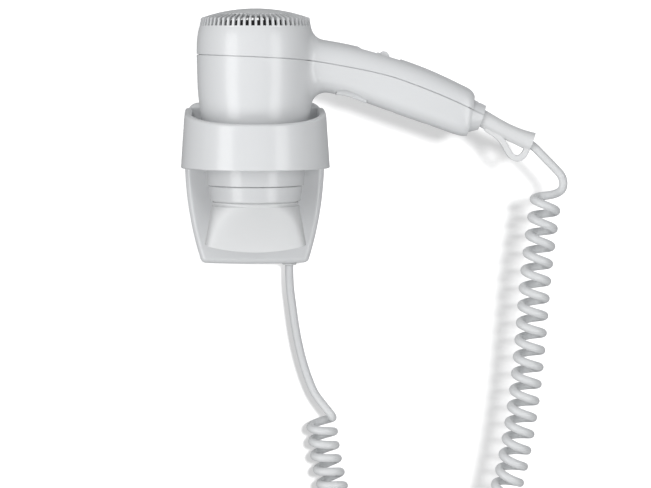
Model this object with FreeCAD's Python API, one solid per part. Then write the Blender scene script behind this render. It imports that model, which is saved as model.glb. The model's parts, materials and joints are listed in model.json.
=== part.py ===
"""Wall-mounted hair dryer: a holder with a holding ring, a pistol handset and a curled cord.

Frame, in millimetres: +Z up, +X to the right as seen from the room, +Y into the wall.
The origin is the centre of the wall plate's back face, so the wall is the plane Y = 0.
The barrel's axis is vertical and stands BARREL_Y in front of the wall.
"""
import FreeCAD, Part
import math
import os

V = FreeCAD.Vector

# ---- driving dimensions -------------------------------------------------------------
BARREL_Y = -72.0
BARREL_BOTTOM, BARREL_TOP = -1.1, 116.6
# outer radius of the barrel at each height, from its open end up to the intake
BARREL_STATIONS = [(-1.1, 36.2), (12, 37.3), (30, 38.8), (48, 40.3), (57, 41.5), (67, 42.7),
                   (90, 43.5), (101, 43.7), (109, 43.2), (116.6, 41.6)]
WALL = 2.2
SEAM_DEPTH, SEAM_WIDTH = 1.2, 0.7

# handle sections: centre x, centre z, half height, half width, lean of the axis in degrees
HANDLE_SECTIONS = [(18, 89.0, 19.5, 18.5, 0), (45, 88.3, 19.6, 18.2, 5), (60, 86.0, 19.2, 17.6, 11),
                   (80, 81.2, 19.3, 16.8, 16), (100, 74.7, 19.7, 16.4, 19), (120, 67.5, 19.7, 16.2, 20.5),
                   (138, 60.4, 18.9, 15.9, 21.5), (150, 55.4, 18.2, 15.4, 20)]
HANDLE_END_SECTIONS = [(157.2, 52.3, 17.4, 14.4, 15), (161.0, 50.4, 15.4, 12.6, 11)]
SECTION_POWER = 2.6
JUNCTION_FILLET = 11.0

# the line where the two shells meet, in X and Z
PARTING_LINE = [(-60, 96.6), (-43, 96.2), (4.8, 94.5), (44.9, 91.1), (64, 87.8), (87, 83.3),
                (107.1, 77.8), (121.5, 72.5), (140.6, 64.9), (163.6, 54.2), (185, 43.5)]

NECK_RADIUS, NECK_BORE, NECK_END = 32.4, 30.4, -9.4
SWIVEL_TOP, SWIVEL_BOTTOM = -1.6, -12.2
NOZZLE_TOP, NOZZLE_NECK_END, NOZZLE_BOTTOM = -9.7, -14.0, -51.0
NOZZLE_NECK, NOZZLE_HALF_WIDTH, NOZZLE_HALF_DEPTH = 32.3, 38.8, 15.0
NOZZLE_STEP = 31.2
NOZZLE_ARC, NOZZLE_WALL, NOZZLE_LEVELS = 142.0, 1.8, 14

GRILLE_DOME, GRILLE_APEX, GRILLE_RIM = 120.0, 130.4, 40.6
GRILLE_SLOTS, SLOT_WIDTH, GRILLE_DISC = 60, 2.5, 30.0

HOUSING_DEPTH, HOUSING_WALL, PLATE_THICK = 25.0, 2.2, 3.0
HOUSING_TOP, HOUSING_FOOT = 58.4, -63.6
WALL_HOLE_X, WALL_HOLE_Z, WALL_HOLE_R = 32.0, 38.0, 2.25
RING_TOP_HALF, RING_BOTTOM_HALF, RING_WALL = 52.9, 55.7, 5.6
RING_TOP, RING_BOTTOM = 52.5, 11.5
RIB_ANGLES = [25, 155, 225, 315]

CORD_D = 6.4
COIL_D = 24.4
SWITCH_SLOPE = 14.8


# ---- helpers ------------------------------------------------------------------------
def write(name, shape):
    """One STEP file per sub-part."""
    shape.exportStep("parts/" + name + ".step")
    print(name, len(shape.Solids), "solids", round(shape.Volume, 1), "mm3", shape.isValid())


def box(x0, x1, y0, y1, z0, z1):
    return Part.makeBox(x1 - x0, y1 - y0, z1 - z0, V(x0, y0, z0))


def rod(start, end, radius, end_radius=None):
    """A cylinder, or a cone, from one point to another."""
    start, end = V(*start), V(*end)
    axis = end - start
    if end_radius is None or abs(end_radius - radius) < 1e-6:
        return Part.makeCylinder(radius, axis.Length, start, axis)
    return Part.makeCone(radius, end_radius, axis.Length, start, axis)


def upright(radius, z0, z1, x=0.0, y=BARREL_Y):
    return Part.makeCylinder(radius, z1 - z0, V(x, y, z0))


def tube(outer, inner, z0, z1):
    """A tube about the barrel's axis."""
    return upright(outer, z0, z1).cut(upright(inner, z0 - 1, z1 + 1))


def revolved(points):
    """A solid of revolution about the barrel's axis, from (radius, z) corners."""
    corners = [V(r, BARREL_Y, z) for r, z in points]
    face = Part.Face(Part.makePolygon(corners + corners[:1]))
    return face.revolve(V(0, BARREL_Y, 0), V(0, 0, 1), 360)


def spline(points):
    curve = Part.BSplineCurve()
    curve.interpolate(points)
    return curve


def slab(points, y0, y1):
    """A prism along Y from corners given in X and Z."""
    corners = [V(x, y0, z) for x, z in points]
    face = Part.Face(Part.makePolygon(corners + corners[:1]))
    return face.extrude(V(0, y1 - y0, 0))


def under_curve(curve_points, floor, y0, y1):
    """A prism along Y between a smooth line in X and Z and a level."""
    line = spline([V(x, y0, z) for x, z in curve_points]).toShape()
    first, last = curve_points[0], curve_points[-1]
    corners = [V(last[0], y0, last[1]), V(last[0], y0, floor),
               V(first[0], y0, floor), V(first[0], y0, first[1])]
    face = Part.Face(Part.Wire([line] + Part.makePolygon(corners).Edges))
    return face.extrude(V(0, y1 - y0, 0))


def on_axis_copies(shape, count, phase=0.0):
    """Copies of a shape spaced evenly about the barrel's axis."""
    copies = []
    for i in range(count):
        turned = shape.copy()
        turned.rotate(V(0, BARREL_Y, 0), V(0, 0, 1), phase + 360.0 * i / count)
        copies.append(turned)
    return copies


def countersunk(point, direction, head_r, shank_r, length):
    """A screw whose flat head starts at point and whose shank runs along direction."""
    axis = V(*direction)
    axis.normalize()
    start = V(*point)
    head = Part.makeCone(head_r, shank_r, head_r - shank_r, start, axis)
    shank = Part.makeCylinder(shank_r, length, start, axis)
    slot = Part.makeBox(head_r * 1.3, 0.7, 0.8, V(-head_r * 0.65, -0.35, -0.01))
    slot.Placement = FreeCAD.Placement(start, FreeCAD.Rotation(V(0, 0, 1), axis)).multiply(slot.Placement)
    return head.fuse(shank).cut(slot).removeSplitter()


def stretched(value, power):
    """A cosine or sine pushed outwards to the superellipse, with a true zero at its axis."""
    return 0.0 if abs(value) < 1e-9 else math.copysign(abs(value) ** (2 / power), value)


def smooth_outline(half_a, half_b, power, place):
    """A closed smooth superellipse-like wire; place turns the two offsets into a point."""
    count = 16
    step = 2 * math.pi / count
    reach = 6 / (4 + 2 * math.cos(step) ** (2 / power))
    poles = []
    for i in range(count):
        a = step * i
        first, second = stretched(math.cos(a), power), stretched(math.sin(a), power)
        poles.append(place(half_a * reach * first, half_b * reach * second))
    curve = Part.BSplineCurve()
    curve.buildFromPoles(poles, True, 3)
    return Part.Wire(curve.toShape())


# ---- handset shells -----------------------------------------------------------------
def barrel_solid(inset):
    """The barrel's body, its surface moved inwards by inset."""
    lift = 0.0 if inset == 0 else 5.0
    stations = [V(r - inset, BARREL_Y, z) for z, r in BARREL_STATIONS]
    side = spline(stations).toShape()
    top, bottom = stations[-1], stations[0]
    corners = [top, V(top.x, BARREL_Y, top.z + lift), V(0, BARREL_Y, top.z + lift),
               V(0, BARREL_Y, bottom.z), bottom]
    if lift == 0:
        del corners[1]
    face = Part.Face(Part.Wire([side] + Part.makePolygon(corners).Edges))
    return face.revolve(V(0, BARREL_Y, 0), V(0, 0, 1), 360)


def handle_section(section, inset):
    """One closed outline across the handle."""
    x, z, half_height, half_width, lean = section
    lean = math.radians(lean)

    def place(across, up):
        return V(x + up * math.sin(lean), BARREL_Y + across, z + up * math.cos(lean))

    return smooth_outline(half_width - inset, half_height - inset, SECTION_POWER, place)


def handle_solid(inset):
    sections = HANDLE_SECTIONS + HANDLE_END_SECTIONS
    if inset > 1:
        sections = HANDLE_SECTIONS + HANDLE_END_SECTIONS[:1]
    return Part.makeLoft([handle_section(s, inset) for s in sections], True, False)


def handset_body(inset):
    """Barrel and handle as one solid; the outside has a round at their junction."""
    barrel = barrel_solid(inset)
    handle = handle_solid(inset)
    body = barrel.fuse(handle)
    if inset:
        return body
    return body.makeFillet(JUNCTION_FILLET, [e for e in body.Edges if is_junction(e)])


def is_junction(edge):
    """True for the edges where the handle's side meets the barrel's side."""
    middle = edge.valueAt((edge.FirstParameter + edge.LastParameter) / 2)
    box_ = edge.BoundBox
    return middle.x > 30 and box_.XMax < 50 and BARREL_BOTTOM + 5 < box_.ZMin and box_.ZMax < BARREL_TOP - 1


def region_above(drop):
    """Everything above the parting line, lowered by drop."""
    line = [(x, z - drop) for x, z in PARTING_LINE]
    return under_curve(line, 220, BARREL_Y - 60, BARREL_Y + 60)


def collar():
    """The tapered collar where the cord guard enters the handle's end."""
    cone = rod(COLLAR_BASE, COLLAR_TIP, COLLAR_BASE_R, COLLAR_TIP_R)
    beyond = rod(COLLAR_END, COLLAR_END + COLLAR_FACING * 20, 30)
    return cone.cut(beyond)


COLLAR_BASE, COLLAR_BASE_R = V(158.5, BARREL_Y, 50.8), 13.5
COLLAR_TIP, COLLAR_TIP_R = V(174.0, BARREL_Y, 49.1), 7.6
COLLAR_END, COLLAR_FACING = V(169.8, BARREL_Y, 49.6), V(0.945, 0, -0.326)
GUARD_AXIS = V(0.875, 0, -0.484)
GUARD_ROOT = V(163.0, BARREL_Y, 52.2)


def along_guard(distance):
    return GUARD_ROOT + GUARD_AXIS * distance


def boss_axis(x):
    """Point on the handle's centre and its upward direction at a given x."""
    for low, high in zip(HANDLE_SECTIONS, HANDLE_SECTIONS[1:]):
        if low[0] <= x <= high[0]:
            share = (x - low[0]) / (high[0] - low[0])
            z = low[1] + share * (high[1] - low[1])
            lean = math.radians(low[4] + share * (high[4] - low[4]))
            half = low[2] + share * (high[2] - low[2])
            return V(x, BARREL_Y, z), V(math.sin(lean), 0, math.cos(lean)), half
    raise ValueError(x)


SCREW_XS = [108.0, 136.0]


def slope_frame(x, z):
    """Placement on the switch recess: X down the slope, Z out of it."""
    return FreeCAD.Placement(V(x, BARREL_Y, z), FreeCAD.Rotation(V(0, 1, 0), SWITCH_SLOPE))


RECESS_START, RECESS_LENGTH, RECESS_HALF = V(79.4, BARREL_Y, 99.3), 30.0, 8.0
SLOT_START, SLOT_END = 5.2, 21.2


def recess_cutter():
    """The shallow scoop in which the slide switch runs."""
    middle = Part.makeBox(RECESS_LENGTH, 2 * RECESS_HALF, 12, V(0, -RECESS_HALF, 0))
    entry = slab_local([(0, 0), (-8, 5.5), (-8, 14), (0, 14)], RECESS_HALF)
    scoop = middle.fuse(entry).removeSplitter()
    upright_edges = [e for e in scoop.Edges if abs(e.BoundBox.YMax - e.BoundBox.YMin) < 1e-6]
    scoop = scoop.makeFillet(2.5, [e for e in upright_edges if e.BoundBox.ZMax < 7])
    scoop.Placement = slope_frame(RECESS_START.x, RECESS_START.z)
    return scoop


def slab_local(points, half):
    corners = [V(x, -half, z) for x, z in points]
    face = Part.Face(Part.makePolygon(corners + corners[:1]))
    return face.extrude(V(0, 2 * half, 0))


BUTTON_NOTCH = [(57.9, 64.6), (59.4, 67.3), (63.2, 69.7), (71.6, 68.3), (79.2, 64.4), (83.9, 58.4)]
BUTTON_UP = V(0.240, 0, 0.971)


def button_channel(grow, rise):
    """The straight channel that the run button moves in, along its travel."""
    half = 9.3 + grow
    left, right = 58.9 - grow, 82.9 + grow
    low, high = 52.0, 60.0 + rise
    lean = BUTTON_UP.x / BUTTON_UP.z
    corners = [(left + lean * (low - 62), low), (right + lean * (low - 62), low),
               (right + lean * (high - 62), high), (left + lean * (high - 62), high)]
    return slab(corners, BARREL_Y - half, BARREL_Y + half)


def shells():
    """Rear housing (intake half) and front housing (outlet half) with their bosses."""
    outer = handset_body(0.0).fuse(collar())
    inner = barrel_solid(WALL).fuse(handle_solid(WALL))
    groove_core = barrel_solid(SEAM_DEPTH).fuse(handle_solid(SEAM_DEPTH))
    groove_core = groove_core.fuse(rod(COLLAR_BASE, COLLAR_TIP, COLLAR_BASE_R - 0.8, COLLAR_TIP_R - 0.8))
    skin = outer.cut(inner)

    # seats for the cord guard in the collar
    guard_bore = rod(along_guard(-2), along_guard(16), 6.75)
    flange_seat = rod(along_guard(-1.0), along_guard(2.6), 9.4)
    tail_bore = rod(along_guard(-10), along_guard(0), CORD_D / 2 + 0.3)
    skin = skin.cut(guard_bore).cut(flange_seat).cut(tail_bore)

    above = region_above(0.0)
    seam = region_above(SEAM_WIDTH / 2).cut(region_above(-SEAM_WIDTH / 2)).cut(groove_core)
    rear = skin.common(above)
    front = skin.cut(above)

    pad = Part.makeBox(RECESS_LENGTH + 12, 20, 6, V(-6, -10, -2.2))
    pad.Placement = slope_frame(RECESS_START.x, RECESS_START.z)
    rear = rear.fuse(pad.common(handle_solid(WALL - 0.6)))
    slot = Part.makeBox(SLOT_END - SLOT_START, 3.4, 20, V(SLOT_START, -1.7, -10))
    slot.Placement = slope_frame(RECESS_START.x, RECESS_START.z)
    rear = rear.cut(recess_cutter()).cut(slot)

    core = handle_solid(0.8)
    for x in SCREW_XS:
        centre, up, half = boss_axis(x)
        lower = rod(centre - up * (half + 2), centre + up * 30, 4.2).common(core).cut(above)
        upper = rod(centre - up * 20, centre + up * (half + 2), 3.8).common(core).common(above)
        front = front.fuse(lower)
        rear = rear.fuse(upper)
        front = front.cut(rod(centre - up * (half + 6), centre - up * (half - 7), 3.3))
        front = front.cut(rod(centre - up * half, centre + up * half, 1.6))
        rear = rear.cut(rod(centre - up * half, centre + up * (half - 6), 1.35))

    notch = under_curve(BUTTON_NOTCH, 30, BARREL_Y - 40, BARREL_Y + 40)
    front = front.cut(notch).cut(button_channel(0.35, 12))

    # open end: a shoulder and the neck that the swivel ring runs on
    shoulder = revolved([(NECK_BORE, -1.1), (36.2, -1.1), (36.4, 1.4), (NECK_BORE, 1.4)])
    neck = revolved([(NECK_BORE, 0), (NECK_RADIUS, 0), (NECK_RADIUS, -7.9), (33.2, -8.2), (33.2, -9.0),
                     (NECK_RADIUS, NECK_END), (NECK_BORE, NECK_END)])
    front = front.fuse(shoulder.common(barrel_solid(0.0))).fuse(neck)
    rear = rear.cut(seam)
    front = front.cut(seam)
    return rear.removeSplitter(), front.removeSplitter()


# ---- intake end ---------------------------------------------------------------------
def intake_grille():
    """Domed grille whose radial slots run over the shoulder and down the side."""
    drop = GRILLE_DOME - math.sqrt(GRILLE_DOME ** 2 - 39.0 ** 2)

    def dome(shrink):
        shoulder_z = GRILLE_APEX - drop - shrink
        sphere_mid = 19.5
        mid_drop = GRILLE_DOME - math.sqrt(GRILLE_DOME ** 2 - sphere_mid ** 2)
        foot = 41.6 - shrink
        a = V(0, BARREL_Y, GRILLE_APEX - shrink)
        b = V(sphere_mid, BARREL_Y, GRILLE_APEX - mid_drop - shrink)
        c = V(39.0 - shrink, BARREL_Y, shoulder_z)
        corner = V(GRILLE_RIM - shrink - 0.15, BARREL_Y, shoulder_z - 0.75)
        d = V(GRILLE_RIM - shrink + 0.1, BARREL_Y, shoulder_z - 2.4)
        e = V(foot, BARREL_Y, BARREL_TOP)
        axis_foot = V(0, BARREL_Y, BARREL_TOP)
        edges = [Part.Arc(a, b, c).toShape(), Part.Arc(c, corner, d).toShape(),
                 Part.LineSegment(d, e).toShape(), Part.LineSegment(e, axis_foot).toShape(),
                 Part.LineSegment(axis_foot, a).toShape()]
        return Part.Face(Part.Wire(edges)).revolve(V(0, BARREL_Y, 0), V(0, 0, 1), 360)

    shell = dome(0.0).cut(dome(2.0))
    half = SLOT_WIDTH / 2
    cutter = box(GRILLE_DISC, 60, BARREL_Y - half, BARREL_Y + half, BARREL_TOP + 1.0, 140)
    shell = shell.cut(Part.makeCompound(on_axis_copies(cutter, GRILLE_SLOTS, 3.0)))
    foot = tube(39.2, 37.2, BARREL_TOP - 4.0, BARREL_TOP + 0.6)
    rim = tube(40.6, 37.2, BARREL_TOP, BARREL_TOP + 0.6)
    hub = upright(6, GRILLE_APEX - 7, GRILLE_APEX - 1.2)
    return shell.fuse(foot).fuse(rim).fuse(hub).removeSplitter()


def intake_filter():
    """Filter basket: a disc with rings of round holes and a wall that backs the grille's slots."""
    disc = upright(36.8, 113.0, 113.8)
    frame = tube(36.8, 35.2, 112.6, 121.6)
    holes = []
    for ring in range(1, 8):
        radius = 4.6 * ring
        count = 6 * ring
        for i in range(count):
            a = 2 * math.pi * i / count
            holes.append(upright(1.5, 112, 115, radius * math.cos(a), BARREL_Y + radius * math.sin(a)))
    return disc.cut(Part.makeCompound(holes)).fuse(frame).removeSplitter()


# ---- fan and motor ------------------------------------------------------------------
DUCT_OUTER, DUCT_BORE = 36.2, 34.8
FAN_RADIUS, FAN_HUB = 33.6, 11.0
MOTOR_R, SHAFT_R = 13.5, 1.15


def fan_duct():
    """Duct round the fan with stator vanes that carry the motor cup."""
    shell = tube(DUCT_OUTER, DUCT_BORE, 60, 112)
    cup = tube(15.4, MOTOR_R + 0.1, 62, 92)
    vane = box(15.0, 35.2, BARREL_Y - 0.8, BARREL_Y + 0.8, 66, 90)
    rib = box(DUCT_OUTER - 0.4, 40.0, BARREL_Y - 1.2, BARREL_Y + 1.2, 66, 78)
    shell = shell.fuse(cup)
    for piece in on_axis_copies(vane, 7, 20) + on_axis_copies(rib, 4, 45):
        shell = shell.fuse(piece)
    return shell.removeSplitter()


def motor():
    can = upright(MOTOR_R, 63, 92)
    nose = upright(4.5, 92, 94.5)
    return can.fuse(nose).cut(upright(SHAFT_R + 0.05, 50, 100)).removeSplitter()


def motor_end_cap():
    cap = upright(12.0, 59.4, 63).cut(upright(SHAFT_R + 0.05, 50, 100))
    for side in (-1, 1):
        cap = cap.cut(box(7.2, 9.2, BARREL_Y + side * 5 - 1.6, BARREL_Y + side * 5 + 1.6, 58, 61))
    return cap


def motor_terminals():
    tabs = []
    for side in (-1, 1):
        middle = BARREL_Y + side * 5
        tabs.append(box(7.8, 8.6, middle - 1.3, middle + 1.3, 54.5, 61))
    return Part.makeCompound(tabs)


def impeller():
    """Axial impeller: seven pitched blades on a domed hub."""
    hub = revolved([(SHAFT_R, 97), (FAN_HUB, 97), (FAN_HUB, 106), (8.5, 109), (SHAFT_R, 110)])

    def blade_edge(radius, pitch, half_chord):
        a = math.radians(pitch)
        along = V(0, math.cos(a), math.sin(a)) * half_chord
        thick = V(0, -math.sin(a), math.cos(a)) * 0.7
        centre = V(radius, BARREL_Y, 101.6)
        corners = [centre - along - thick, centre + along - thick,
                   centre + along + thick, centre - along + thick]
        return Part.makePolygon(corners + corners[:1])

    blade = Part.makeLoft([blade_edge(10.2, 48, 5.4), blade_edge(FAN_RADIUS - 0.5, 24, 9.5)], True, True)
    limit = tube(FAN_RADIUS, SHAFT_R + 3, 96, 111)
    for piece in on_axis_copies(blade.common(limit), 7):
        hub = hub.fuse(piece)
    return hub.removeSplitter()


# ---- heater -------------------------------------------------------------------------
def heater_frame():
    """Two crossed mica boards, notched along their edges for the coils."""
    first = box(-24.8, 24.8, BARREL_Y - 0.5, BARREL_Y + 0.5, 8, 52)
    second = box(-0.5, 0.5, BARREL_Y - 24.8, BARREL_Y + 24.8, 8, 52)
    cross = first.fuse(second)
    notches = [tube(30, 23.6, z - 1.3, z + 1.3) for z in coil_levels()]
    return cross.cut(Part.makeCompound(notches)).removeSplitter()


def coil_levels():
    return [13 + 5.6 * i for i in range(7)]


def heater_coils():
    rings = [Part.makeTorus(24.7, 1.0, V(0, BARREL_Y, z)) for z in coil_levels()]
    return Part.makeCompound(rings)


def outlet_grille():
    """Round guard in the neck: rings joined by spokes."""
    top, bottom = -2.4, -5.0
    guard = tube(NECK_BORE - 0.1, 28.6, bottom, top)
    for radius in (23.5, 17.5, 11.5, 5.5):
        guard = guard.fuse(tube(radius, radius - 1.2, bottom, top))
    spoke = box(5.0, 29.2, BARREL_Y - 0.6, BARREL_Y + 0.6, bottom, top)
    for piece in on_axis_copies(spoke, 8, 22.5):
        guard = guard.fuse(piece)
    return guard.removeSplitter()


def thermostat():
    base = box(11, 21, BARREL_Y + 0.6, BARREL_Y + 4.2, 53, 58)
    strip = box(9.8, 22.2, BARREL_Y + 4.2, BARREL_Y + 4.9, 54.5, 56.5)
    return base.fuse(strip).removeSplitter()


def thermal_fuse():
    body = rod((-16, BARREL_Y + 3, 55), (-7, BARREL_Y + 3, 55), 1.7)
    wire = rod((-19, BARREL_Y + 3, 55), (-4, BARREL_Y + 3, 55), 0.5)
    return body.fuse(wire).removeSplitter()


# ---- nozzle -------------------------------------------------------------------------
def swivel_ring():
    """Ring that turns on the neck and is held by the bead at the neck's end."""
    return revolved([(NECK_RADIUS + 0.05, SWIVEL_TOP), (34.6, SWIVEL_TOP), (35.2, SWIVEL_TOP - 0.6),
                     (33.8, SWIVEL_BOTTOM), (33.45, SWIVEL_BOTTOM), (33.45, -7.6),
                     (NECK_RADIUS + 0.05, -7.6)])


def nozzle_section(z, inset):
    """Closed outline of the nozzle at a level: round at the top, a flat slot at the mouth."""
    share = (NOZZLE_NECK_END - z) / (NOZZLE_NECK_END - NOZZLE_BOTTOM)
    wide = NOZZLE_NECK + (NOZZLE_HALF_WIDTH - NOZZLE_NECK) * share
    ease = math.sin(math.pi / 2 * min(1.0, share))
    deep = NOZZLE_NECK + (NOZZLE_HALF_DEPTH - NOZZLE_NECK) * (0.65 * share + 0.35 * ease)
    power = 2.0 + 3.6 * ease

    def place(along_x, along_y):
        return V(along_x, BARREL_Y + along_y, z)

    return smooth_outline(wide - inset, deep - inset, power, place)


def nozzle_loft(inset):
    """The fishtail as a solid, from an exact circle down to just below the mouth."""
    step = (NOZZLE_NECK_END - NOZZLE_BOTTOM + 2.0) / NOZZLE_LEVELS
    neck = Part.Wire(Part.makeCircle(NOZZLE_NECK - inset, V(0, BARREL_Y, NOZZLE_NECK_END)))
    lower = [nozzle_section(NOZZLE_NECK_END - step * i, inset) for i in range(1, NOZZLE_LEVELS + 1)]
    return Part.makeLoft([neck] + lower, True, True)


def nozzle():
    """Fishtail concentrator with an arched lower edge and a spigot that plugs into the swivel ring."""
    shell = nozzle_loft(0.0).cut(nozzle_loft(NOZZLE_WALL))
    centre = V(0, BARREL_Y - 50, NOZZLE_BOTTOM + NOZZLE_ARC)
    shell = shell.common(Part.makeCylinder(NOZZLE_ARC, 100, centre, V(0, 1, 0)))
    bore = NOZZLE_NECK - NOZZLE_WALL
    spigot = revolved([(bore, NOZZLE_TOP), (33.35, NOZZLE_TOP), (33.35, -12.9), (NOZZLE_STEP, -12.9),
                       (NOZZLE_STEP, NOZZLE_NECK_END), (bore, NOZZLE_NECK_END)])
    return shell.fuse(spigot)


# ---- switches in the handle ---------------------------------------------------------
SWITCH_X = 17.3


def on_slope(shape):
    shape.Placement = slope_frame(RECESS_START.x, RECESS_START.z)
    return shape


def switch_slider():
    """Slide knob: foot on the recess floor, round rib on top and a stem through the slot."""
    foot = Part.makeBox(9, 11, 1.3, V(SWITCH_X - 5.2, -5.5, 0.25))
    rib = Part.makeCylinder(3.4, 10.4, V(SWITCH_X, -5.2, 0.25), V(0, 1, 0))
    rib = rib.common(Part.makeBox(9, 12, 6, V(SWITCH_X - 4.5, -6, 0.25)))
    stem = Part.makeBox(3.0, 2.4, 5.2, V(SWITCH_X - 1.5, -1.2, -4.8))
    return on_slope(foot.fuse(rib).fuse(stem).removeSplitter())


def switch_block():
    """Body of the slide switch under the slot, with the groove that its actuator runs in."""
    body = Part.makeBox(22, 12, 7.5, V(3.0, -6, -9.7))
    groove = Part.makeBox(SLOT_END - SLOT_START, 3.6, 3.1, V(SLOT_START, -1.8, -5.2))
    pins = [Part.makeBox(0.8, 2.2, 3.5, V(6 + 5 * i, -1.1, -13.1)) for i in range(4)]
    block = body.cut(groove)
    for pin in pins:
        block = block.fuse(pin)
    return on_slope(block.removeSplitter())


def run_button():
    """Push button that fills the notch in the handle's underside."""
    lower_edge = [(55, 66.7), (61, 66.0), (67.7, 65.0), (75.4, 62.4), (82, 59.8), (88, 57.2)]
    above_edge = under_curve(lower_edge, 90, BARREL_Y - 30, BARREL_Y + 30)
    body = button_channel(0.0, 10.2).common(above_edge)
    hollow = slab([(62, 67.8), (80.4, 63.2), (84, 75), (65, 80)], BARREL_Y - 7.3, BARREL_Y + 7.3)
    post = rod((71.2, BARREL_Y, 64.5), (72.6, BARREL_Y, 70.2), 2.2)
    button = body.cut(hollow).fuse(post).removeSplitter()
    edges = [e for e in button.Edges if e.BoundBox.ZMax < 67.5 and e.BoundBox.XLength > 15
             and e.BoundBox.YLength < 0.1]
    return button.makeFillet(2.0, edges)


def micro_switch():
    """Snap switch above the run button's post, its plunger pointing down."""
    body = box(-6.4, 6.4, -3.2, 3.2, 0, 6.4)
    plunger = box(-1, 1, -1, 1, -1.2, 0.5)
    tabs = [box(x - 0.5, x + 0.5, -1.5, 1.5, 6, 9) for x in (-4.5, 0, 4.5)]
    switch = body.fuse(plunger)
    for tab in tabs:
        switch = switch.fuse(tab)
    switch.Placement = FreeCAD.Placement(V(73.6, BARREL_Y, 74.5), FreeCAD.Rotation(V(0, 0, 1), BUTTON_UP))
    return switch.removeSplitter()


def diode_board():
    board = Part.makeBox(17, 15, 1.6, V(0, -7.5, 0))
    for i in range(3):
        board = board.fuse(Part.makeCylinder(1.7, 5.5, V(3.5 + 5 * i, -2.7, 3.2), V(0, 1, 0)))
        board = board.fuse(Part.makeBox(0.8, 5.5, 2.0, V(3.1 + 5 * i, -2.7, 1.4)))
    board.Placement = FreeCAD.Placement(V(113.5, BARREL_Y, 66.5), FreeCAD.Rotation(V(0, 1, 0), 20.5))
    return board.removeSplitter()


def handle_screws():
    screws = []
    for x in SCREW_XS:
        centre, up, half = boss_axis(x)
        seat = centre - up * (half - 7.05)
        head = rod(seat - up * 2.2, seat, 3.0)
        cross = rod(seat - up * 2.3, seat - up * 1.2, 0.9)
        shank = rod(seat, centre + up * (half - 8), 1.35)
        screws.append(head.fuse(shank).cut(cross).removeSplitter())
    return Part.makeCompound(screws)


# ---- cord guard and clamp in the handle ---------------------------------------------
GUARD_LINE = [(163.0, 52.2), (170.0, 48.3), (178.5, 43.5), (187.6, 38.8), (197.5, 34.3), (207.3, 30.5)]
GUARD_RADII = [6.5, 6.5, 6.3, 6.1, 6.4, 7.4]
LOOP_LINE = [(172.6, 45.0), (173.6, 40.6), (178.6, 37.0), (184.2, 32.0), (188.2, 25.6), (191.6, 20.4),
             (196.2, 18.2), (200.8, 20.6), (203.4, 25.4), (204.6, 29.4)]
LOOP_THICK = 4.6


def guard_directions():
    out = []
    for i in range(len(GUARD_LINE)):
        before = GUARD_LINE[max(0, i - 1)]
        after = GUARD_LINE[min(len(GUARD_LINE) - 1, i + 1)]
        d = V(after[0] - before[0], 0, after[1] - before[1])
        d.normalize()
        out.append(d)
    return out


def guard_wires(radii):
    wires = []
    for (x, z), radius, direction in zip(GUARD_LINE, radii, guard_directions()):
        wires.append(Part.Wire(Part.makeCircle(radius, V(x, BARREL_Y, z), direction)))
    return wires


def strap(line, thick, half_width):
    """A flat strap that follows a smooth line in X and Z."""
    middle = spline([V(x, BARREL_Y - half_width, z) for x, z in line])
    count = 24
    sides = ([], [])
    for i in range(count + 1):
        t = middle.FirstParameter + (middle.LastParameter - middle.FirstParameter) * i / count
        point, along = middle.value(t), middle.tangent(t)[0]
        across = V(-along.z, 0, along.x) * (thick / 2)
        sides[0].append(point + across)
        sides[1].append(point - across)
    edge_a = spline(sides[0]).toShape()
    edge_b = spline(sides[1]).toShape()
    end_a = Part.makeLine(sides[0][-1], sides[1][-1])
    end_b = Part.makeLine(sides[1][0], sides[0][0])
    face = Part.Face(Part.Wire(Part.__sortEdges__([edge_a, end_a, edge_b, end_b])))
    return face.extrude(V(0, 2 * half_width, 0))


CORD_SEAT = V(199.6, BARREL_Y, 33.45)


def cord_guard():
    """Moulded sleeve with a bell mouth, its flange in the collar and a loop to hang the handset by."""
    sleeve = Part.makeLoft(guard_wires(GUARD_RADII), True, False)
    flange = rod(along_guard(-0.8), along_guard(2.3), 9.0)
    end_direction = guard_directions()[-1]
    mouth_end = V(GUARD_LINE[-1][0], BARREL_Y, GUARD_LINE[-1][1]) + end_direction * 0.5
    bell = rod(CORD_SEAT, mouth_end, CORD_D / 2 + 0.2, 6.4)
    loop = strap(LOOP_LINE, LOOP_THICK, 3.6)
    loop = loop.makeFillet(1.0, [e for e in loop.Edges if e.BoundBox.YLength < 0.01 and e.Length > 10])
    guard = sleeve.fuse(flange).fuse(loop).cut(bell)
    keep_off = rod(along_guard(2.6), along_guard(7.7), 20).cut(rod(along_guard(2.0), along_guard(8.5), 6.55))
    return guard.cut(keep_off).removeSplitter()


def handle_cord_tail():
    """The cord's last stretch inside the handle, behind the guard."""
    return rod(along_guard(-17), along_guard(-0.8), CORD_D / 2)


def clamp_frame():
    return FreeCAD.Placement(along_guard(-11), FreeCAD.Rotation(V(1, 0, 0), GUARD_AXIS))


def handle_cord_clamp():
    """Saddle bar that grips the cord against two posts."""
    bar = Part.makeBox(6, 20, 4.4, V(-3, -10, 0.6))
    bar = bar.cut(Part.makeCylinder(CORD_D / 2, 20, V(-10, 0, 0), V(1, 0, 0)))
    for side in (-1, 1):
        bar = bar.cut(Part.makeCylinder(1.3, 30, V(0, side * 7, -10)))
    bar.Placement = clamp_frame()
    return bar


def handle_clamp_screws():
    screws = []
    for side in (-1, 1):
        head = Part.makeCylinder(2.4, 1.6, V(0, side * 7, 5.0))
        shank = Part.makeCylinder(1.2, 11, V(0, side * 7, -5))
        screw = head.fuse(shank).removeSplitter()
        screw.Placement = clamp_frame()
        screws.append(screw)
    return Part.makeCompound(screws)


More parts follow.
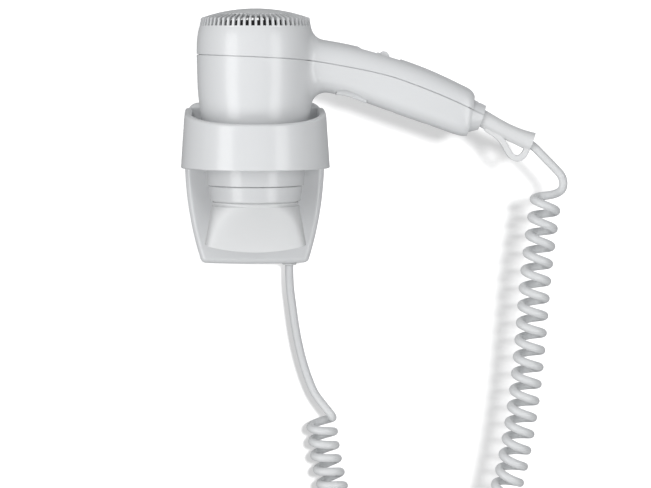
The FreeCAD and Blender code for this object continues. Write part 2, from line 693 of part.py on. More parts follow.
# ---- wall holder --------------------------------------------------------------------
def outline_block(inset, y0, y1):
    """Block with the housing's outline moved inwards: bowed sides above, straight taper below."""
    def at(x, z):
        return V(x, y0, z)

    top, foot = HOUSING_TOP - inset, HOUSING_FOOT + inset
    right_top, right_foot = at(50.4 - inset, top), at(40.6 - inset, foot)
    left_top, left_foot = at(-50.4 + inset, top), at(-40.6 + inset, foot)
    right_bulge, right_knee, right_flank = at(53.3 - inset, 30), at(53.1 - inset, 6), at(49.6 - inset, -27)
    left_bulge, left_knee, left_flank = at(-53.3 + inset, 30), at(-53.1 + inset, 6), at(-49.6 + inset, -27)
    edges = [Part.Arc(left_top, at(0, top + 0.6), right_top).toShape(),
             Part.Arc(right_top, right_bulge, right_knee).toShape(),
             Part.Arc(right_knee, right_flank, right_foot).toShape(),
             Part.Arc(right_foot, at(0, foot - 0.9), left_foot).toShape(),
             Part.Arc(left_foot, left_flank, left_knee).toShape(),
             Part.Arc(left_knee, left_bulge, left_top).toShape()]
    block = Part.Face(Part.Wire(edges)).extrude(V(0, y1 - y0, 0))
    long_edges = [e for e in block.Edges if e.BoundBox.YLength > 0.9 * abs(y1 - y0)]
    block = block.makeFillet(9.0 - inset, [e for e in long_edges if e.BoundBox.ZMin > 50])
    long_edges = [e for e in block.Edges if e.BoundBox.YLength > 0.9 * abs(y1 - y0)]
    return block.makeFillet(5.0 - inset, [e for e in long_edges if e.BoundBox.ZMax < -50])


RING_SCREWS = [(-20, 20), (20, 20), (-20, 44), (20, 44)]
TAB_XS = [-14, 6]
CABLE_X, CABLE_Z = -24, -3
CORD_X, CORD_Y = 26.5, -14.0


def holder_cover():
    """Open-backed cover of the wall housing."""
    block = outline_block(0.0, -HOUSING_DEPTH, 0.0)
    front = [e for e in block.Edges if e.BoundBox.YMax < -HOUSING_DEPTH + 0.01]
    block = block.makeFillet(4.5, front)
    hollow = outline_block(HOUSING_WALL, -HOUSING_DEPTH + HOUSING_WALL, 1)
    cover = block.cut(hollow).cut(box(-80, 80, -0.5, 5, -80, 80))
    for x, z in RING_SCREWS:
        cover = cover.cut(rod((x, -40, z), (x, -10, z), 1.7))
    for x in TAB_XS:
        cover = cover.cut(upright(1.6, -75, -50, x, -9))
        cover = cover.cut(rod((x, -9, HOUSING_FOOT - 1.2), (x, -9, HOUSING_FOOT + 1.4), 3.6, 1.6))
    cover = cover.cut(upright(5.0, -75, -50, CORD_X, CORD_Y))
    return cover


def wall_plate():
    """Back plate with screw bosses, cable hole and tabs for the cover's screws."""
    plate = outline_block(HOUSING_WALL + 0.5, -PLATE_THICK, 0)
    for x, z in RING_SCREWS:
        plate = plate.fuse(rod((x, -PLATE_THICK, z), (x, -22.5, z), 4.2))
    for x in TAB_XS:
        plate = plate.fuse(box(x - 5, x + 5, -14, -PLATE_THICK, HOUSING_FOOT + 2.4, HOUSING_FOOT + 10))
    for x in (CORD_X - 8, CORD_X + 8):
        plate = plate.fuse(box(x - 3.5, x + 3.5, -10.8, -PLATE_THICK, -45, -37))
    for x, z in RING_SCREWS:
        plate = plate.cut(rod((x, -30, z), (x, -8, z), 1.5))
    for x in TAB_XS:
        plate = plate.cut(upright(1.3, -65, -49, x, -9))
    for x in (CORD_X - 8, CORD_X + 8):
        plate = plate.cut(rod((x, -20, -41), (x, -5, -41), 1.3))
    for x in (-WALL_HOLE_X, WALL_HOLE_X):
        for z in (-WALL_HOLE_Z, WALL_HOLE_Z):
            plate = plate.cut(rod((x, -10, z), (x, 1, z), WALL_HOLE_R))
    plate = plate.cut(rod((CABLE_X, -10, CABLE_Z), (CABLE_X, 1, CABLE_Z), 9))
    return plate.removeSplitter()


def ring_outline(half, z):
    """U-shaped outline about the barrel, closed along the housing's front."""
    back = -HOUSING_DEPTH
    right, left = V(half, BARREL_Y, z), V(-half, BARREL_Y, z)
    front = V(0, BARREL_Y - half, z)
    right_back, left_back = V(half, back, z), V(-half, back, z)
    edges = [Part.Arc(left, front, right).toShape(), Part.makeLine(right, right_back),
             Part.makeLine(right_back, left_back), Part.makeLine(left_back, left)]
    return Part.Wire(edges)


def ring_half(z):
    share = (RING_TOP - z) / (RING_TOP - RING_BOTTOM)
    return RING_TOP_HALF + (RING_BOTTOM_HALF - RING_TOP_HALF) * share


def barrel_radius(z):
    for (z0, r0), (z1, r1) in zip(BARREL_STATIONS, BARREL_STATIONS[1:]):
        if z0 <= z <= z1:
            return r0 + (r1 - r0) * (z - z0) / (z1 - z0)
    raise ValueError(z)


def holder_ring():
    """Tapered holding ring: scooped rim, arms back to the housing, back plate and four ribs."""
    high = RING_TOP + 6
    outside = Part.makeLoft([ring_outline(ring_half(RING_BOTTOM), RING_BOTTOM),
                             ring_outline(ring_half(high), high)], True, True)
    inner_wires = []
    for z in (RING_BOTTOM - 1, high + 1):
        half = ring_half(z) - RING_WALL
        wire = ring_outline(half, z)
        inner_wires.append(wire)
    inside = Part.makeLoft(inner_wires, True, True)
    inside = inside.cut(box(-80, 80, -HOUSING_DEPTH - 2.6, 0, -20, 90))
    ring = outside.cut(inside)
    rim = [(-140, 44.6), (-127, 45.2), (-110, 47.0), (-90, 50.2), (-72, 52.6), (-48, 54.6), (-20, 55.0)]
    line = spline([V(-90, y, z) for y, z in rim]).toShape()
    side = Part.makePolygon([V(-90, -20, 55.0), V(-90, -20, -20), V(-90, -140, -20), V(-90, -140, 44.6)])
    keep = Part.Face(Part.Wire([line] + side.Edges)).extrude(V(180, 0, 0))
    ring = ring.common(keep)
    ring = ring.makeFillet(2.3, [e for e in ring.Edges if rounded_rim(e, RING_BOTTOM + 20, 100)])
    ring = ring.makeFillet(0.8, [e for e in ring.Edges if rounded_rim(e, 0, RING_BOTTOM + 0.01)])
    low, high_z = RING_BOTTOM + 4, 40
    rib = slab([(barrel_radius(low) + 0.3, low), (58, low),
                (58, high_z), (barrel_radius(high_z) + 0.3, high_z)],
               BARREL_Y - 1.3, BARREL_Y + 1.3)
    for angle in RIB_ANGLES:
        turned = rib.copy()
        turned.rotate(V(0, BARREL_Y, 0), V(0, 0, 1), angle)
        ring = ring.fuse(turned.common(outside))
    for x, z in RING_SCREWS:
        ring = ring.cut(rod((x, -40, z), (x, -10, z), 1.7))
        ring = ring.cut(rod((x, -27.7, z), (x, -26.0, z), 3.4, 1.7))
    return ring.removeSplitter()


def rounded_rim(edge, low, high):
    """The band's edges between two levels, away from the housing."""
    b = edge.BoundBox
    return low < b.ZMin and b.ZMax < high and b.YMin < -60 and b.YMax < -HOUSING_DEPTH + 0.01


def ring_screws():
    return Part.makeCompound([countersunk((x, -27.55, z), (0, 1, 0), 3.1, 1.5, 14) for x, z in RING_SCREWS])


def cover_screws():
    level = HOUSING_FOOT - 0.4
    return Part.makeCompound([countersunk((x, -9, level), (0, 0, 1), 2.7, 1.3, 11) for x in TAB_XS])


def terminal_block():
    """Three-way screw terminal strip on the plate."""
    block = box(-38, -10, -16, -PLATE_THICK, -30, -17)
    for i in range(3):
        x = -33 + 9 * i
        block = block.cut(rod((x, -17, -23.5), (x, -7, -23.5), 2.4))
        block = block.cut(upright(1.6, -31, -16, x, -9))
    return block


def terminal_screws():
    screws = []
    for i in range(3):
        x = -33 + 9 * i
        head = rod((x, -15, -23.5), (x, -11, -23.5), 2.2)
        slot = box(x - 2.3, x + 2.3, -15.1, -14.2, -23.85, -23.15)
        screws.append(head.cut(slot))
    return Part.makeCompound(screws)


def holder_cord_clamp():
    bar = box(CORD_X - 12, CORD_X + 12, -19, -14.4, -45, -37)
    bar = bar.cut(upright(CORD_D / 2, -50, -30, CORD_X, CORD_Y))
    for x in (CORD_X - 8, CORD_X + 8):
        bar = bar.cut(rod((x, -25, -41), (x, -5, -41), 1.4))
    return bar


def holder_clamp_screws():
    screws = []
    for x in (CORD_X - 8, CORD_X + 8):
        head = rod((x, -20.8, -41), (x, -19.0, -41), 2.6)
        shank = rod((x, -19.0, -41), (x, -6, -41), 1.25)
        screws.append(head.fuse(shank).removeSplitter())
    return Part.makeCompound(screws)


def cord_grommet():
    """Rubber bush in the cover's floor."""
    low, high = HOUSING_FOOT - 1.0, HOUSING_FOOT + HOUSING_WALL + 0.2
    return revolved_at(CORD_X, CORD_Y, [(CORD_D / 2, low - 1.2), (4.9, low - 1.2),
                                        (5.6, low - 0.5), (5.6, low),
                                        (4.9, low), (4.9, high), (6.2, high), (6.2, high + 1.4),
                                        (CORD_D / 2, high + 1.4)])


def revolved_at(x, y, points):
    corners = [V(x + r, y, z) for r, z in points]
    face = Part.Face(Part.makePolygon(corners + corners[:1]))
    return face.revolve(V(x, y, 0), V(0, 0, 1), 360)


def holder_cord_tail():
    """The cord's end inside the housing."""
    return upright(CORD_D / 2, HOLDER_LEAD[0][2], -33, CORD_X, CORD_Y)


# ---- cord ---------------------------------------------------------------------------
HOLDER_LEAD = [(26.5, -14, -65.8), (26.5, -14, -80), (28.6, -14.5, -96), (31.4, -15, -117),
               (35.4, -15.5, -136), (40.3, -16, -152), (45.6, -16, -165), (50, -16, -175)]
HANDSET_LEAD = [(199.6, -72, 33.45), (207.6, -72.2, 28.4), (215.4, -72.6, 20.2), (223.0, -73.2, 12.0),
                (230.2, -73.8, 2.6), (227.6, -74, -10.9)]
CURLED_LINE = [(217.8, -74, -12), (213.6, -75, -42), (210.0, -75, -72), (208.0, -75, -100),
               (205.7, -74, -130), (202, -73, -165), (197, -72, -198), (190, -69, -232),
               (176, -63, -268), (150, -53, -298), (117, -41, -306), (85, -29, -290),
               (64, -20, -256), (55, -16, -218), (52, -16, -196), (50, -16, -176)]


def cord_tube(name, points, diameter):
    """A round tube along straight runs joined by tangent arcs."""
    corners = [V(*p) for p in points]
    edges, radii = [], []
    here = corners[0]
    for before, corner, after in zip(corners, corners[1:], corners[2:]):
        into, out = corner - before, after - corner
        turn = into.getAngle(out)
        reach = 0.45 * min(into.Length, out.Length)
        radii.append(reach / math.tan(turn / 2))
        into.normalize()
        out.normalize()
        start, end = corner - into * reach, corner + out * reach
        inward = out - into
        inward.normalize()
        centre_way = radii[-1] / math.cos(turn / 2)
        middle = corner + inward * (centre_way - radii[-1])
        edges.append(Part.LineSegment(here, start).toShape())
        edges.append(Part.Arc(start, middle, end).toShape())
        here = end
    edges.append(Part.LineSegment(here, corners[-1]).toShape())
    path = Part.Wire(edges)
    first_run = corners[1] - corners[0]
    section = Part.Wire(Part.makeCircle(diameter / 2, corners[0], first_run))
    solid = path.makePipeShell([section], True, False)
    expected = path.Length * math.pi * diameter ** 2 / 4
    print(name, "length", round(path.Length, 1), "radii", [round(r) for r in radii],
          "volume ratio", round(solid.Volume / expected, 4))
    return solid


# ---- write everything ---------------------------------------------------------------
def main():
    os.makedirs("parts", exist_ok=True)
    rear, front = shells()
    write("rear_housing", rear)
    write("front_housing", front)
    write("intake_grille", intake_grille())
    write("intake_filter", intake_filter())
    write("fan_duct", fan_duct())
    write("motor", motor())
    write("motor_end_cap", motor_end_cap())
    write("motor_terminals", motor_terminals())
    write("motor_shaft", upright(SHAFT_R, 57.5, 110))
    write("impeller", impeller())
    write("heater_frame", heater_frame())
    write("heater_coils", heater_coils())
    write("heater_sleeve", tube(32.6, 31.8, 3, 54))
    write("outlet_grille", outlet_grille())
    write("thermostat", thermostat())
    write("thermal_fuse", thermal_fuse())
    write("nozzle_ring", swivel_ring())
    write("nozzle", nozzle())
    write("switch_slider", switch_slider())
    write("switch_block", switch_block())
    write("run_button", run_button())
    write("micro_switch", micro_switch())
    write("diode_board", diode_board())
    write("handle_screws", handle_screws())
    write("cord_guard", cord_guard())
    write("handle_cord_tail", handle_cord_tail())
    write("handle_cord_clamp", handle_cord_clamp())
    write("handle_clamp_screws", handle_clamp_screws())
    write("holder_cover", holder_cover())
    write("wall_plate", wall_plate())
    write("holder_ring", holder_ring())
    write("ring_screws", ring_screws())
    write("cover_screws", cover_screws())
    write("terminal_block", terminal_block())
    write("terminal_screws", terminal_screws())
    write("holder_cord_clamp", holder_cord_clamp())
    write("holder_clamp_screws", holder_clamp_screws())
    write("cord_grommet", cord_grommet())
    write("holder_cord_tail", holder_cord_tail())
    write("cord_lead_holder", cord_tube("holder lead", HOLDER_LEAD, CORD_D))
    write("cord_lead_handset", cord_tube("handset lead", HANDSET_LEAD, CORD_D))
    write("curly_cord", cord_tube("curled cord", CURLED_LINE, COIL_D))


main()
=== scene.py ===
import bpy
import json
import math
from mathutils import Vector, Matrix


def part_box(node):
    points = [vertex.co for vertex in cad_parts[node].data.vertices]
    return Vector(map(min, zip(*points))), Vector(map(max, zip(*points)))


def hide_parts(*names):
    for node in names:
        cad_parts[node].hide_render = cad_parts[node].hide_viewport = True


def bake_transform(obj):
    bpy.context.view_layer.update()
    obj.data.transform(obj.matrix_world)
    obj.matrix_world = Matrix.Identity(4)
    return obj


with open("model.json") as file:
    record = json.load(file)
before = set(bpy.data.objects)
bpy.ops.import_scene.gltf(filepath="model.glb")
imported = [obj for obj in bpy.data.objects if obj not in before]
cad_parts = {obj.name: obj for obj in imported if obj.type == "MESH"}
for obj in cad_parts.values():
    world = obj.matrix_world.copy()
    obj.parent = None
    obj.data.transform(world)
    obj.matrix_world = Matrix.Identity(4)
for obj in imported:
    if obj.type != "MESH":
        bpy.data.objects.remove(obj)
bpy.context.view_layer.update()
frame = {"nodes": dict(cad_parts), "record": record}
nodes = frame["nodes"]

# ---- the barrel's axis, from the frame, and the cord's sizes in metres -----------------
grille_low, grille_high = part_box("intake_grille")
BARREL_Y = (grille_low.y + grille_high.y) / 2
CORD_D = 0.0064
COIL_MEAN_R = 0.0090
HOLDER_PITCH, HANDSET_PITCH = 0.0107, 0.0136

# ---- camera ---------------------------------------------------------------------------
SENSOR = 36.0
VIEW_WIDTH = 0.4882
DISTANCE = 2.25
TARGET = Vector((0.0524, BARREL_Y, -0.0458))
EYE_Z = 0.115
camera_data = bpy.data.cameras.new("camera")
camera_data.sensor_width = SENSOR
camera = bpy.data.objects.new("camera", camera_data)
bpy.context.scene.collection.objects.link(camera)
swing = math.radians(-2.0)
eye = Vector((TARGET.x + DISTANCE * math.sin(swing), TARGET.y - DISTANCE * math.cos(swing), EYE_Z))
camera.location = eye
camera.rotation_euler = (TARGET - eye).to_track_quat("-Z", "Y").to_euler()
camera_data.lens = SENSOR * (TARGET - eye).length / VIEW_WIDTH
camera_data.clip_start, camera_data.clip_end = 0.05, 30.0
bpy.context.scene.camera = camera

# ---- cord routes, in millimetres ------------------------------------------------------
# They are the CAD model's routes. The handset lead's last points are moved by a few millimetres,
# so that it bulges to the right before it enters the curl.
HOLDER_LEAD = [(26.5, -14, -65.8), (26.5, -14, -80), (28.6, -14.5, -96), (31.4, -15, -117),
               (35.4, -15.5, -136), (40.3, -16, -152), (45.6, -16, -165), (50, -16, -175)]
HANDSET_LEAD = [(199.6, -72, 33.45), (207.6, -72.2, 28.4), (215.4, -72.6, 20.2), (223.6, -73.2, 12.0),
                (232.4, -73.6, 2.4), (230.6, -71, -6.0)]
CURLED_LINE = [(217.8, -74, -12), (213.6, -75, -42), (210.0, -75, -72), (208.0, -75, -100),
               (205.7, -74, -130), (202, -73, -165), (197, -72, -198), (190, -69, -232),
               (176, -63, -268), (150, -53, -298), (117, -41, -306), (85, -29, -290),
               (64, -20, -256), (55, -16, -218), (52, -16, -196), (50, -16, -176)]
MM = 0.001
END_PHASE = math.radians(0)
# the stretch of the curl's axis in which its first turn is looked for
FIRST_TURN = 0.011
# points left out of each lead so that a smooth bend fits between it and the curl
HOLDER_LEAD_CUT, HANDSET_LEAD_CUT = 14, 5
HOLDER_BEND, HANDSET_BEND = 0.022, 0.030
WIRE_STEP = 0.0015


def route_points(name, points):
    """Points read from the NURBS spline whose control points are the route."""
    data = bpy.data.curves.new(name, "CURVE")
    data.dimensions = "3D"
    data.resolution_u = 24
    spline = data.splines.new("NURBS")
    spline.points.add(len(points) - 1)
    for target, point in zip(spline.points, points):
        target.co = (point[0] * MM, point[1] * MM, point[2] * MM, 1.0)
    spline.order_u = 3
    spline.use_endpoint_u = True
    curve = bpy.data.objects.new(name, data)
    bpy.context.scene.collection.objects.link(curve)
    bpy.context.view_layer.update()
    mesh = bpy.data.meshes.new_from_object(curve)
    line = [v.co.copy() for v in mesh.vertices]
    bpy.data.objects.remove(curve)
    bpy.data.meshes.remove(mesh)
    return line


def evenly(line, step):
    """The same line with points a fixed step apart."""
    out, left = [line[0].copy()], step
    for a, b in zip(line, line[1:]):
        length = (b - a).length
        done = 0.0
        while length - done >= left and length > 0:
            done += left
            out.append(a.lerp(b, done / length))
            left = step
        left -= length - done
    if (out[-1] - line[-1]).length > step * 0.3:
        out.append(line[-1].copy())
    return out


def carried_frames(line, side):
    """Tangent, side and up vectors carried along a line without twist."""
    frames = []
    for i, point in enumerate(line):
        ahead = line[min(i + 1, len(line) - 1)] - line[max(i - 1, 0)]
        tangent = ahead.normalized()
        side = (side - tangent * side.dot(tangent)).normalized()
        frames.append((tangent, side, tangent.cross(side)))
    return frames


def helix(line, end_phase, first_pitch, last_pitch):
    """A left-handed helix about a line, at a given turn angle where it ends."""
    frames = carried_frames(line, Vector((1, 0, 0)))
    total = sum((b - a).length for a, b in zip(line, line[1:]))
    angles, run = [0.0], 0.0
    for a, b in zip(line, line[1:]):
        pitch = first_pitch + (last_pitch - first_pitch) * run / total
        angles.append(angles[-1] - 2 * math.pi * (b - a).length / pitch)
        run += (b - a).length
    points = []
    for point, (tangent, side, up), angle in zip(line, frames, angles):
        turn = angle - angles[-1] + end_phase
        points.append(point + (side * math.cos(turn) + up * math.sin(turn)) * COIL_MEAN_R)
    return points


def joined(first, second, pull):
    """Two lines joined by one smooth bend that leaves and meets them along their own directions."""
    a, b = first[-1], second[0]
    leave = (first[-1] - first[-3]).normalized() * pull
    meet = (second[2] - second[0]).normalized() * pull
    steps = 40
    bend = []
    for i in range(1, steps):
        u = i / steps
        keep, swap = 2 * u ** 3 - 3 * u ** 2 + 1, -2 * u ** 3 + 3 * u ** 2
        bend.append(a * keep + leave * (u ** 3 - 2 * u ** 2 + u) + b * swap + meet * (u ** 3 - u ** 2))
    return first + bend + second


def soften(line, rounds):
    for _ in range(rounds):
        line = [line[0]] + [(a + b * 2 + c) / 4 for a, b, c in zip(line, line[1:], line[2:])] + [line[-1]]
    return line


def tube_mesh(name, line, radius, sides):
    """A closed tube along a line."""
    frames = carried_frames(line, Vector((0, -1, 0.2)))
    verts, faces = [], []
    for point, (tangent, side, up) in zip(line, frames):
        for k in range(sides):
            a = 2 * math.pi * k / sides
            verts.append(point + (side * math.cos(a) + up * math.sin(a)) * radius)
    for i in range(len(line) - 1):
        for k in range(sides):
            n = (k + 1) % sides
            faces.append((i * sides + k, i * sides + n, (i + 1) * sides + n, (i + 1) * sides + k))
    faces.append(tuple(reversed(range(sides))))
    last = (len(line) - 1) * sides
    faces.append(tuple(last + k for k in range(sides)))
    mesh = bpy.data.meshes.new(name)
    mesh.from_pydata([tuple(v) for v in verts], [], faces)
    for polygon in mesh.polygons:
        polygon.use_smooth = len(polygon.vertices) == 4
    mesh.update()
    piece = bpy.data.objects.new(name, mesh)
    bpy.context.scene.collection.objects.link(piece)
    return piece


lead_in = evenly(route_points("holder_lead_route", HOLDER_LEAD), 0.001)
curl_axis = evenly(route_points("curl_route", list(reversed(CURLED_LINE))), 0.0006)
lead_out = evenly(route_points("handset_lead_route", list(reversed(HANDSET_LEAD))), 0.001)
curl = helix(curl_axis, END_PHASE, HOLDER_PITCH, HANDSET_PITCH)
opening_turn = [i for i, point in enumerate(curl_axis) if (point - curl_axis[0]).length < FIRST_TURN]
start_cut = max(opening_turn, key=lambda i: curl[i].x)
wire = joined(lead_in[:-HOLDER_LEAD_CUT], curl[start_cut:], HOLDER_BEND)
wire = joined(wire, lead_out[HANDSET_LEAD_CUT:], HANDSET_BEND)
wire = evenly(soften(evenly(wire, 0.0012), 3), WIRE_STEP)
cord = tube_mesh("curled_cord", wire, CORD_D / 2, 18)

# ---- materials ------------------------------------------------------------------------


def new_material(name):
    material = bpy.data.materials.new(name)
    material.use_nodes = True
    tree = material.node_tree
    shader = tree.nodes["Principled BSDF"]
    return material, tree, shader


def noise(tree, scale, detail=3.0, rough=0.5):
    where = tree.nodes.new("ShaderNodeTexCoord")
    texture = tree.nodes.new("ShaderNodeTexNoise")
    texture.inputs["Scale"].default_value = scale
    texture.inputs["Detail"].default_value = detail
    texture.inputs["Roughness"].default_value = rough
    tree.links.new(where.outputs["Object"], texture.inputs["Vector"])
    return texture.outputs["Fac"]


def spread(tree, value, low, high):
    """Map a 0 to 1 value between two limits."""
    ranged = tree.nodes.new("ShaderNodeMapRange")
    ranged.inputs["From Min"].default_value = 0.3
    ranged.inputs["From Max"].default_value = 0.7
    ranged.inputs["To Min"].default_value = low
    ranged.inputs["To Max"].default_value = high
    tree.links.new(value, ranged.inputs["Value"])
    return ranged.outputs["Result"]


def tint(tree, value, dark, light):
    ramp = tree.nodes.new("ShaderNodeValToRGB")
    ramp.color_ramp.elements[0].position = 0.3
    ramp.color_ramp.elements[1].position = 0.7
    ramp.color_ramp.elements[0].color = (*dark, 1)
    ramp.color_ramp.elements[1].color = (*light, 1)
    tree.links.new(value, ramp.inputs["Fac"])
    return ramp.outputs["Color"]


def bump(tree, shader, value, strength, distance):
    node = tree.nodes.new("ShaderNodeBump")
    node.inputs["Strength"].default_value = strength
    node.inputs["Distance"].default_value = distance
    tree.links.new(value, node.inputs["Height"])
    tree.links.new(node.outputs["Normal"], shader.inputs["Normal"])


# how fine the tone drift and the gloss changes are, and how strongly the grain shows
TONE_SCALE, GLOSS_SCALE, GLOSS_DETAIL = 14.0, 60.0, 4.0
GRAIN_DETAIL, GRAIN_STRENGTH = 2.0, 0.25
COAT_ROUGHNESS = 0.14


def moulded(name, dark, light, rough_low, rough_high, grain, depth, coat=0.0, metal=0.0, ior=1.5):
    """Moulded or drawn surface: slight tone drift, uneven gloss and a fine grain."""
    material, tree, shader = new_material(name)
    tree.links.new(tint(tree, noise(tree, TONE_SCALE), dark, light), shader.inputs["Base Color"])
    gloss = noise(tree, GLOSS_SCALE, GLOSS_DETAIL)
    tree.links.new(spread(tree, gloss, rough_low, rough_high), shader.inputs["Roughness"])
    bump(tree, shader, noise(tree, grain, GRAIN_DETAIL), GRAIN_STRENGTH, depth)
    shader.inputs["Metallic"].default_value = metal
    shader.inputs["Coat Weight"].default_value = coat
    shader.inputs["Coat Roughness"].default_value = COAT_ROUGHNESS
    shader.inputs["IOR"].default_value = ior
    return material


shell = moulded("shell_white", (0.71, 0.72, 0.73), (0.73, 0.74, 0.75), 0.28, 0.34, 900.0, 0.00001, 0.4)
holder = moulded("holder_white", (0.70, 0.71, 0.72), (0.72, 0.73, 0.74), 0.28, 0.34, 900.0, 0.00001, 0.4)
satin = moulded("nozzle_white", (0.71, 0.72, 0.725), (0.74, 0.745, 0.75), 0.42, 0.52, 1600.0, 0.00004)
pvc = moulded("cord_white", (0.68, 0.69, 0.70), (0.72, 0.73, 0.735), 0.34, 0.44, 1200.0, 0.00003)
guard = moulded("guard_white", (0.69, 0.70, 0.705), (0.73, 0.735, 0.74), 0.36, 0.46, 1200.0, 0.00003)
plate_grey = moulded("plate_grey", (0.46, 0.47, 0.48), (0.52, 0.53, 0.54), 0.45, 0.6, 1400.0, 0.00005)
zinc = moulded("screw_steel", (0.50, 0.50, 0.49), (0.62, 0.62, 0.61), 0.25, 0.4, 2000.0, 0.00002, metal=1.0)
can = moulded("motor_steel", (0.45, 0.45, 0.45), (0.55, 0.55, 0.54), 0.3, 0.45, 1500.0, 0.00002, metal=1.0)
brass = moulded("contact_brass", (0.62, 0.45, 0.18), (0.75, 0.56, 0.24), 0.25, 0.4, 1800.0, 0.00002,
                metal=1.0)
nichrome = moulded("heater_wire", (0.28, 0.25, 0.22), (0.42, 0.38, 0.34), 0.35, 0.5, 2500.0, 0.00003,
                   metal=1.0)
mica = moulded("mica_board", (0.42, 0.38, 0.30), (0.60, 0.55, 0.46), 0.35, 0.6, 700.0, 0.00008)
nylon = moulded("fan_dark", (0.012, 0.012, 0.013), (0.022, 0.022, 0.024), 0.35, 0.5, 1500.0, 0.00004)
screen = moulded("filter_dark", (0.02, 0.02, 0.022), (0.04, 0.04, 0.042), 0.6, 0.8, 2500.0, 0.0001)
black = moulded("switch_black", (0.008, 0.008, 0.009), (0.016, 0.016, 0.017), 0.3, 0.45, 1500.0, 0.00003)
board = moulded("board_green", (0.01, 0.06, 0.03), (0.02, 0.10, 0.05), 0.3, 0.45, 900.0, 0.00003)

by_slot = {"shell_white": shell, "holder_white": holder, "nozzle_white": satin, "cord_white": pvc,
           "guard_white": guard, "plate_grey": plate_grey, "screw_steel": zinc, "motor_steel": can,
           "contact_brass": brass, "heater_wire": nichrome, "mica_board": mica, "fan_dark": nylon,
           "filter_dark": screen, "switch_black": black, "board_green": board}


def dress(piece, material):
    piece.data.materials.clear()
    piece.data.materials.append(material)


for subpart in frame["record"]["subparts"]:
    dress(nodes[subpart["node"]], by_slot[subpart["material_slot"]])

dress(cord, pvc)
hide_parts("cord_lead_holder", "curly_cord", "cord_lead_handset")
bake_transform(cord)

# ---- backdrop and light ---------------------------------------------------------------


def plane(name, centre, half_x, half_y, rotation):
    corners = [Vector((-half_x, -half_y, 0)), Vector((half_x, -half_y, 0)),
               Vector((half_x, half_y, 0)), Vector((-half_x, half_y, 0))]
    mesh = bpy.data.meshes.new(name)
    turn = Matrix.Translation(centre) @ rotation.to_4x4()
    mesh.from_pydata([tuple(turn @ c) for c in corners], [], [(0, 1, 2, 3)])
    piece = bpy.data.objects.new(name, mesh)
    bpy.context.scene.collection.objects.link(piece)
    return piece


def backdrop_material():
    """Plain white from its front, clear from behind."""
    material, tree, shader = new_material("backdrop")
    shader.inputs["Base Color"].default_value = (0.6, 0.6, 0.6, 1)
    shader.inputs["Roughness"].default_value = 0.9
    shader.inputs["Specular IOR Level"].default_value = 0.0
    shader.inputs["Emission Color"].default_value = (1, 1, 1, 1)
    shader.inputs["Emission Strength"].default_value = 0.44
    clear = tree.nodes.new("ShaderNodeBsdfTransparent")
    side = tree.nodes.new("ShaderNodeNewGeometry")
    mix = tree.nodes.new("ShaderNodeMixShader")
    tree.links.new(side.outputs["Backfacing"], mix.inputs[0])
    tree.links.new(shader.outputs[0], mix.inputs[1])
    tree.links.new(clear.outputs[0], mix.inputs[2])
    tree.links.new(mix.outputs[0], tree.nodes["Material Output"].inputs["Surface"])
    return material


wall = plane("wall", Vector((0, 0.0006, 0)), 6.0, 6.0, Matrix.Rotation(math.radians(90), 3, "X"))
dress(wall, backdrop_material())
for ray in ("visible_diffuse", "visible_glossy", "visible_transmission", "visible_shadow"):
    setattr(wall, ray, False)

world = bpy.data.worlds.new("world")
world.use_nodes = True
world.node_tree.nodes["Background"].inputs["Color"].default_value = (0.97, 0.985, 1.0, 1)
world.node_tree.nodes["Background"].inputs["Strength"].default_value = 0.28
bpy.context.scene.world = world
bpy.context.scene.view_settings.view_transform = "Standard"


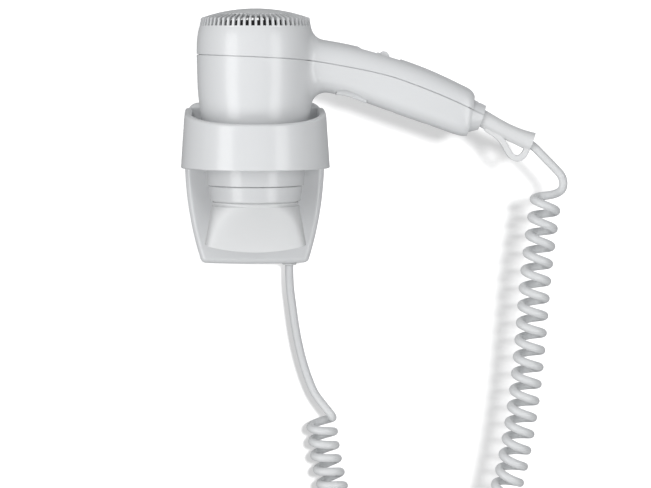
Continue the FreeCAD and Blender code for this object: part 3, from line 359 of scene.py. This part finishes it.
def lamp(name, azimuth, elevation, distance, width, height, power):
    """A softbox aimed at the barrel; azimuth is measured from the room towards +X."""
    data = bpy.data.lights.new(name, "AREA")
    data.shape = "RECTANGLE"
    data.size, data.size_y = width, height
    data.energy = power
    piece = bpy.data.objects.new(name, data)
    bpy.context.scene.collection.objects.link(piece)
    a, e = math.radians(azimuth), math.radians(elevation)
    aim = Vector((0.0, BARREL_Y, 0.0))
    level = math.cos(e)
    piece.location = aim + Vector((math.sin(a) * level, -math.cos(a) * level, math.sin(e))) * distance
    piece.rotation_euler = (aim - piece.location).to_track_quat("-Z", "Y").to_euler()
    return piece


def lights_only(light, name, receivers):
    """Limit what a lamp lights, so that the wall keeps one clear shadow."""
    group = bpy.data.collections.new(name)
    for receiver in receivers:
        group.objects.link(receiver)
    light.light_linking.receiver_collection = group


pieces = list(nodes.values()) + [cord]

# azimuth and elevation in degrees, distance, width and height in metres, power in watts
left_box = lamp("left_softbox", -48, -6, 1.6, 0.7, 1.8, 12.0)
right_box = lamp("right_softbox", 41, -6, 1.6, 0.6, 1.8, 8.5)
key = lamp("key", 12.6, 5.5, 2.5, 0.45, 0.45, 4.0)
low_fill = lamp("low_fill", -8, -38, 1.4, 0.9, 0.5, 3.6)
top_key = lamp("top_key", -24, 52, 1.6, 0.7, 0.5, 7.0)
back_fill = lamp("back_fill", 165, 22, 1.8, 1.2, 1.0, 14.0)
wall_key = lamp("wall_key", 13.5, 7.6, 2.5, 0.36, 0.36, 78.0)
for unseen in (key, low_fill, top_key, back_fill, wall_key):
    unseen.visible_glossy = False
for number, light in enumerate((left_box, right_box, key, low_fill, top_key, back_fill)):
    lights_only(light, "object_pieces_%d" % number, pieces)
lights_only(wall_key, "wall_only", [wall])

# a soft wash of light, which casts no shadow, on the wall to the left of the barrel
WASH_PLACE, WASH_AIM = Vector((-0.55, -1.1, 0.30)), Vector((-0.092, 0, 0.025))
wash_data = bpy.data.lights.new("wall_wash", "SPOT")
wash_data.energy = 52.0
wash_data.spot_size = math.radians(13.0)
wash_data.spot_blend = 0.55
wash_data.shadow_soft_size = 0.02
wall_wash = bpy.data.objects.new("wall_wash", wash_data)
bpy.context.scene.collection.objects.link(wall_wash)
wall_wash.location = WASH_PLACE
wall_wash.rotation_euler = (WASH_AIM - WASH_PLACE).to_track_quat("-Z", "Y").to_euler()
wall_wash.visible_glossy = False
lights_only(wall_wash, "wall_only_too", [wall])
no_shadow_makers = bpy.data.collections.new("no_shadow_makers")
no_shadow_makers.objects.link(wall)
wall_wash.light_linking.blocker_collection = no_shadow_makers
